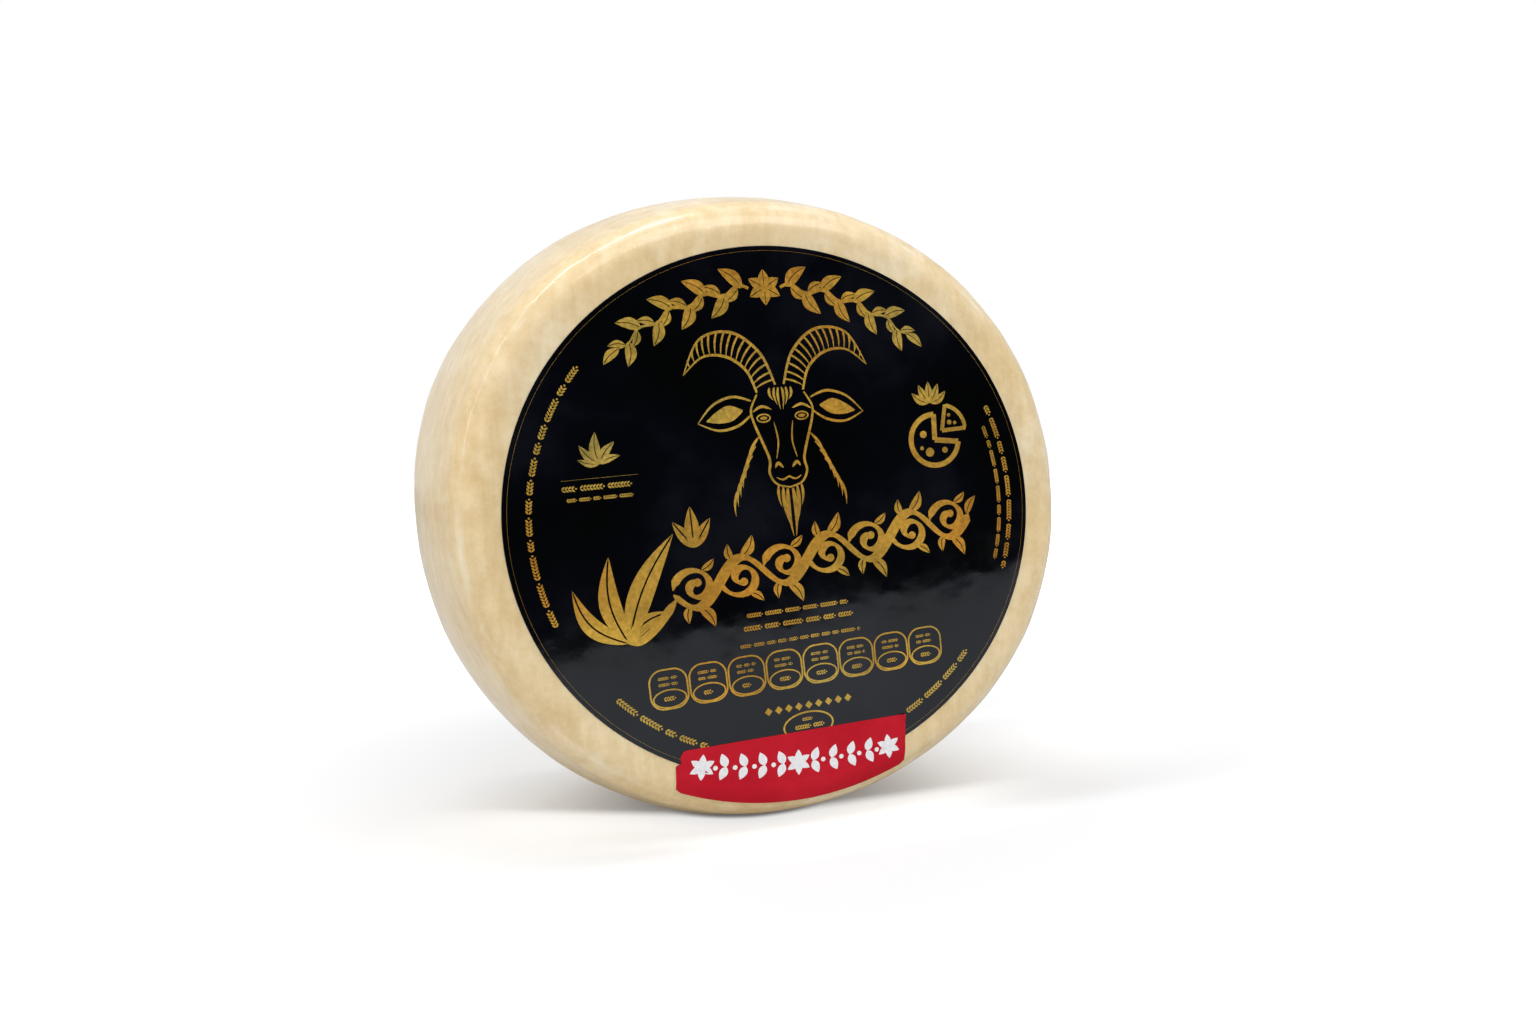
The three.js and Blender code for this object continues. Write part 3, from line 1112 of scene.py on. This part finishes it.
# ---------------------------------------------------------------- the strip sticker
STICKER_MIDDLE = (STICKER_LEFT + STICKER_RIGHT) / 2
STICKER_TOP = -46.8 * MM  # from the axis, at mid-width
STICKER_SLOPE = math.tan(math.radians(3.5))
STICKER_BOTTOM_RADIUS = 62 * MM
STICKER_CORNER = 1.5 * MM  # radius of its upper left corner
STICKER_FOOT_CORNER = 0.5 * MM
STICKER_PLEAT = 1.0 * MM  # how far its left end is drawn in above the label's edge
STICKER_PLEAT_Z = -51.2 * MM  # where it steps off the label's edge, on the left
STICKER_CURL = 0.5 * MM  # how far its upper right corner lifts
STICKER_WRINKLE = 0.035 * MM
STICKER_COLUMNS = 150
STICKER_ROWS = 48
STICKER_MARGINS = (0.0016, 0.006)  # the outermost column's and row's share of width and height


def under_sticker_y(x, z):
    """Y of whatever the sticker is stuck to: the label's film, or the cheese's skin."""
    from_label = math.hypot(x, z - (LABEL_HEIGHT - AXIS_HEIGHT))
    on_film = 1 - smoothstep(LABEL_RADIUS - 0.1 * MM, LABEL_RADIUS + 0.7 * MM, from_label)
    return skin_y(x, z) - FILM * on_film


def sticker_place(across, down):
    """(x, z from the axis) of a sticker point; across runs left to right and down from the top
    edge to the bottom arc, both from 0 to 1."""
    x = lerp(STICKER_LEFT, STICKER_RIGHT, across)
    top = STICKER_TOP + STICKER_SLOPE * (x - STICKER_MIDDLE)
    to_go = STICKER_CORNER - (x - STICKER_LEFT)
    if to_go > 0:
        top -= STICKER_CORNER - math.sqrt(STICKER_CORNER**2 - to_go**2)
    bottom = -math.sqrt(STICKER_BOTTOM_RADIUS**2 - x**2)
    for end in (STICKER_LEFT, STICKER_RIGHT):
        bottom += STICKER_FOOT_CORNER * (1 - smoothstep(0, 1.0 * MM, abs(x - end)))
    z = lerp(top, bottom, down)
    pleat = STICKER_PLEAT * smoothstep(STICKER_PLEAT_Z - 0.3 * MM, STICKER_PLEAT_Z + 0.3 * MM, z)
    return x + pleat * (1 - across) ** 6, z


def sticker_lift(x, z):
    """How far the sticker stands off: the film's thickness, faint wrinkles, a lifted corner."""
    corner = math.hypot(x - STICKER_RIGHT, z - (STICKER_TOP + 1.6 * MM))
    curl = STICKER_CURL * (1 - smoothstep(0.1 * MM, 2.2 * MM, corner))
    wrinkle = STICKER_WRINKLE * (1 + fbm((x / (6 * MM), 40.0, z / (2.5 * MM)), 2))
    return FILM + wrinkle + curl


def edge_row(index, count, margin):
    """Even shares from 0 to 1, but with the rows next to the ends close to them."""
    if index in (1, count - 1):
        return margin if index == 1 else 1 - margin
    return index / count


def make_sticker():
    """A bent strip of film, closed by its edges and by a back that touches what is under it."""
    front, back = [], []
    for r in range(STICKER_ROWS + 1):
        for c in range(STICKER_COLUMNS + 1):
            across = edge_row(c, STICKER_COLUMNS, STICKER_MARGINS[0])
            x, z = sticker_place(across, edge_row(r, STICKER_ROWS, STICKER_MARGINS[1]))
            y = under_sticker_y(x, z) - sticker_lift(x, z)
            front.append((x, y, AXIS_HEIGHT + z))
            back.append((x, y + FILM, AXIS_HEIGHT + z))
    columns, rows = STICKER_COLUMNS + 1, STICKER_ROWS + 1
    offset = len(front)
    faces = []
    for r in range(rows - 1):
        for c in range(columns - 1):
            a = r * columns + c
            quad = (a, a + columns, a + columns + 1, a + 1)
            faces.append(quad)
            faces.append(tuple(offset + i for i in reversed(quad)))
    rim = list(range(columns))
    rim += [r * columns + columns - 1 for r in range(1, rows)]
    rim += [(rows - 1) * columns + c for c in range(columns - 2, -1, -1)]
    rim += [r * columns for r in range(rows - 2, 0, -1)]
    for a, b in zip(rim, rim[1:] + rim[:1]):
        faces.append((a, b, offset + b, offset + a))
    piece = new_mesh_object("sticker_strip", front + back, faces, sticker_material())
    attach(piece, "root")
    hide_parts("strip_sticker")


def on_sticker(point, sink):
    """Place of a print point on the sticker, points measured from the wheel's axis."""
    x, z = point[0] * MM, point[1] * MM
    rise = sticker_lift(x, z) + PRINT_HEIGHT - sink
    return (x, under_sticker_y(x, z) - rise, AXIS_HEIGHT + z)


def sticker_ornament():
    """A white band of flowers and bold leaf pairs on a gentle arc."""
    drawing = Drawing()
    radius, centre = 172.7, (1.0, 119.3)
    for k in range(-5, 6):
        across = 4.1 * k
        turn = across / radius
        middle = (centre[0] + radius * math.sin(turn), centre[1] - radius * math.cos(turn))
        lean = math.degrees(turn)
        if k % 5 == 0:
            for petal in range(6):
                drawing.leaf(middle, lean + 30 + 60 * petal, 2.75, 1.5, 0.0, vein=0.0)
            continue
        side = 1 if k > 0 else -1
        foot = (middle[0] - 0.9 * side, middle[1])
        for flare in (-1, 1):
            drawing.leaf(foot, lean + 90 * flare - 22 * side * flare, 3.0, 1.8, 0.0, vein=0.0)
        drawing.disc((middle[0] + 1.35 * side, middle[1]), 0.5)
    return drawing


def make_sticker_print():
    vertices, faces = bands_to_solid(sticker_ornament(), on_sticker, widest=1.0)
    piece = new_mesh_object(
        "sticker_ornament", vertices, faces, white_ink_material(), smooth=False
    )
    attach(piece, "root")


# ---------------------------------------------------------------- everything
bpy.context.scene.view_settings.view_transform = "Standard"
make_camera()
make_world()
make_lights()
make_floor()
make_dark_flag()
make_cheese()
make_label()
make_label_print()
make_sticker()
make_sticker_print()
